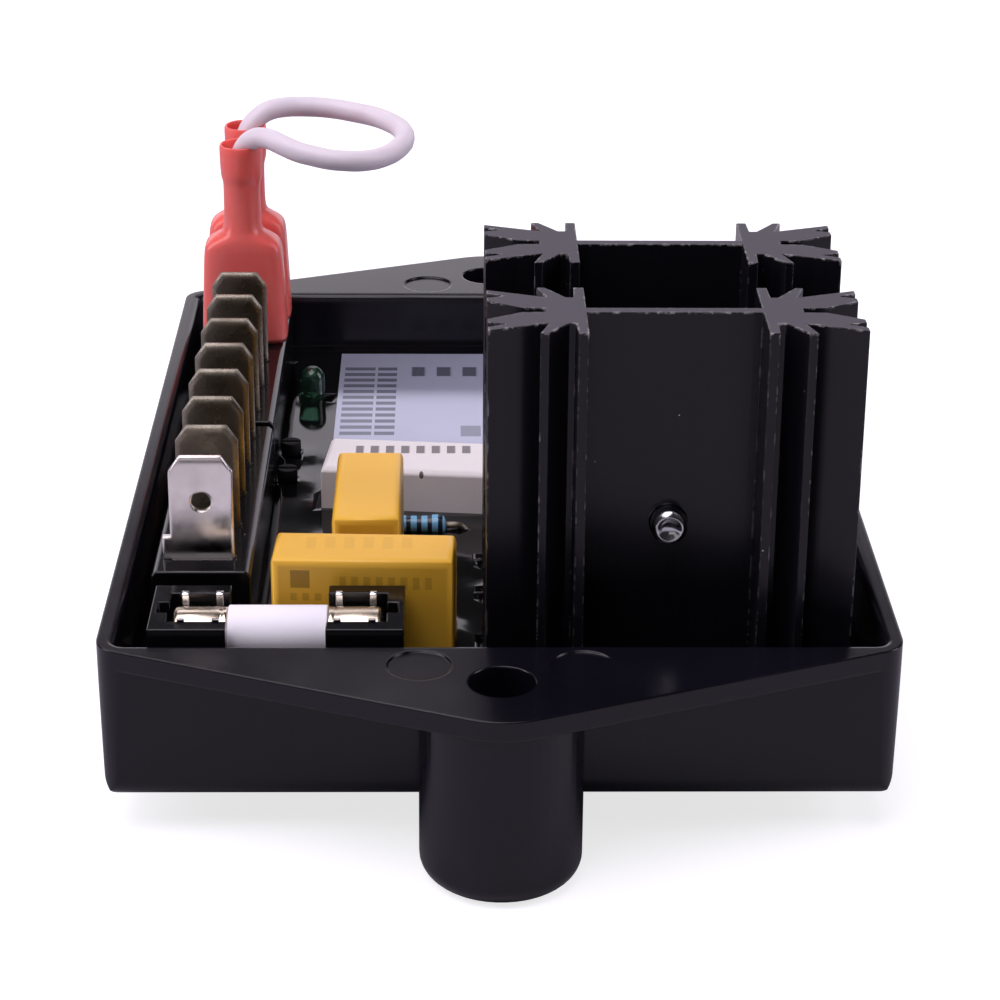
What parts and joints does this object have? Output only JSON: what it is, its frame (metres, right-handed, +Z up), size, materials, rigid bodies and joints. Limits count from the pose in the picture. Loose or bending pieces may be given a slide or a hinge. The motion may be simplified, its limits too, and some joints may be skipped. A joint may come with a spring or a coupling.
{
  "type": "automatic voltage regulator",
  "caption": "Generator voltage regulator: a potted circuit board in a black tray with end lugs, finned heat sinks, a row of blade terminals with a jumper loop and a cartridge fuse",
  "frame": {"origin": "centre of the bounding box's underside, which is the plane of the feet of the two screw bosses", "axes": "X across the tray with the terminals at -X, Y along the tray with the fuse at -Y, Z up out of the tray"},
  "size_m": [0.076, 0.131, 0.0495],
  "materials": {
    "case_plastic": "satin moulded thermoplastic",
    "resin": "glossy black casting resin",
    "board_laminate": "glass-fibre laminate",
    "sink_aluminium": "black anodised extrusion with bare sawn ends",
    "steel": "zinc-plated steel",
    "insulating_pad": "silicone insulating sheet",
    "tinned_copper": "tinned copper",
    "black_epoxy": "matt moulded epoxy",
    "black_moulding": "glossy moulded phenolic",
    "tinned_brass": "tinned brass strip",
    "red_vinyl": "translucent red sleeve",
    "wire_vinyl": "white vinyl insulation",
    "fuse_ceramic": "white unglazed ceramic tube",
    "fuse_cap_metal": "plated cap",
    "capacitor_case": "yellow moulded box",
    "cement_ceramic": "white unglazed ceramic",
    "resistor_coat": "blue lacquer",
    "label_film": "silvery white printed film",
    "green_lens": "tinted clear lens"
  },
  "bodies": {
    "root": {"case": "case_plastic", "potting": "resin", "circuit_board": "board_laminate", "heat_sink_front": "sink_aluminium", "heat_sink_rear": "sink_aluminium", "heat_sink_pins": "steel", "sink_screws": "steel", "sink_washers": "steel", "fuse_clip_left": "steel", "fuse_clip_right": "steel", "thermal_pad_front": "insulating_pad", "thermal_pad_rear": "insulating_pad", "device_frame_front": "tinned_copper", "device_frame_rear": "tinned_copper", "capacitor_leads": "tinned_copper", "cement_resistor_leads": "tinned_copper", "film_resistor_leads": "tinned_copper", "status_led_leads": "tinned_copper", "power_device_front": "black_epoxy", "power_device_rear": "black_epoxy", "control_chip": "black_epoxy", "rectifier_diodes": "black_epoxy", "terminal_block_front": "black_moulding", "terminal_block_rear": "black_moulding", "fuse_holder": "black_moulding", "trimmer_body_front": "black_moulding", "trimmer_body_rear": "black_moulding", "terminal_tab_1": "tinned_brass", "terminal_tab_2": "tinned_brass", "terminal_tab_3": "tinned_brass", "terminal_tab_4": "tinned_brass", "terminal_tab_5": "tinned_brass", "terminal_tab_6": "tinned_brass", "terminal_tab_7": "tinned_brass", "terminal_tab_8": "tinned_brass", "terminal_tab_9": "tinned_brass", "terminal_tab_10": "tinned_brass", "receptacle_contact_front": "tinned_brass", "receptacle_contact_rear": "tinned_brass", "receptacle_sleeve_front": "red_vinyl", "receptacle_sleeve_rear": "red_vinyl", "jumper_wire": "wire_vinyl", "fuse_body": "fuse_ceramic", "fuse_cap_left": "fuse_cap_metal", "fuse_cap_right": "fuse_cap_metal", "film_capacitor_front": "capacitor_case", "film_capacitor_rear": "capacitor_case", "cement_resistor": "cement_ceramic", "film_resistor": "resistor_coat", "label": "label_film", "status_led": "green_lens"},
    "front_adjuster": {"trimmer_rotor_front": "black_moulding"},
    "rear_adjuster": {"trimmer_rotor_rear": "black_moulding"}
  },
  "joints": [
    {"name": "front_trimmer_turn", "type": "hinge", "parent": "root", "child": "front_adjuster", "pos_m": [-0.0231, 0.0061, 0.0135], "axis": [0, 0, 1], "range_deg": [-130, 130]},
    {"name": "rear_trimmer_turn", "type": "hinge", "parent": "root", "child": "rear_adjuster", "pos_m": [-0.0231, 0.0141, 0.0135], "axis": [0, 0, 1], "range_deg": [-130, 130]}
  ]
}
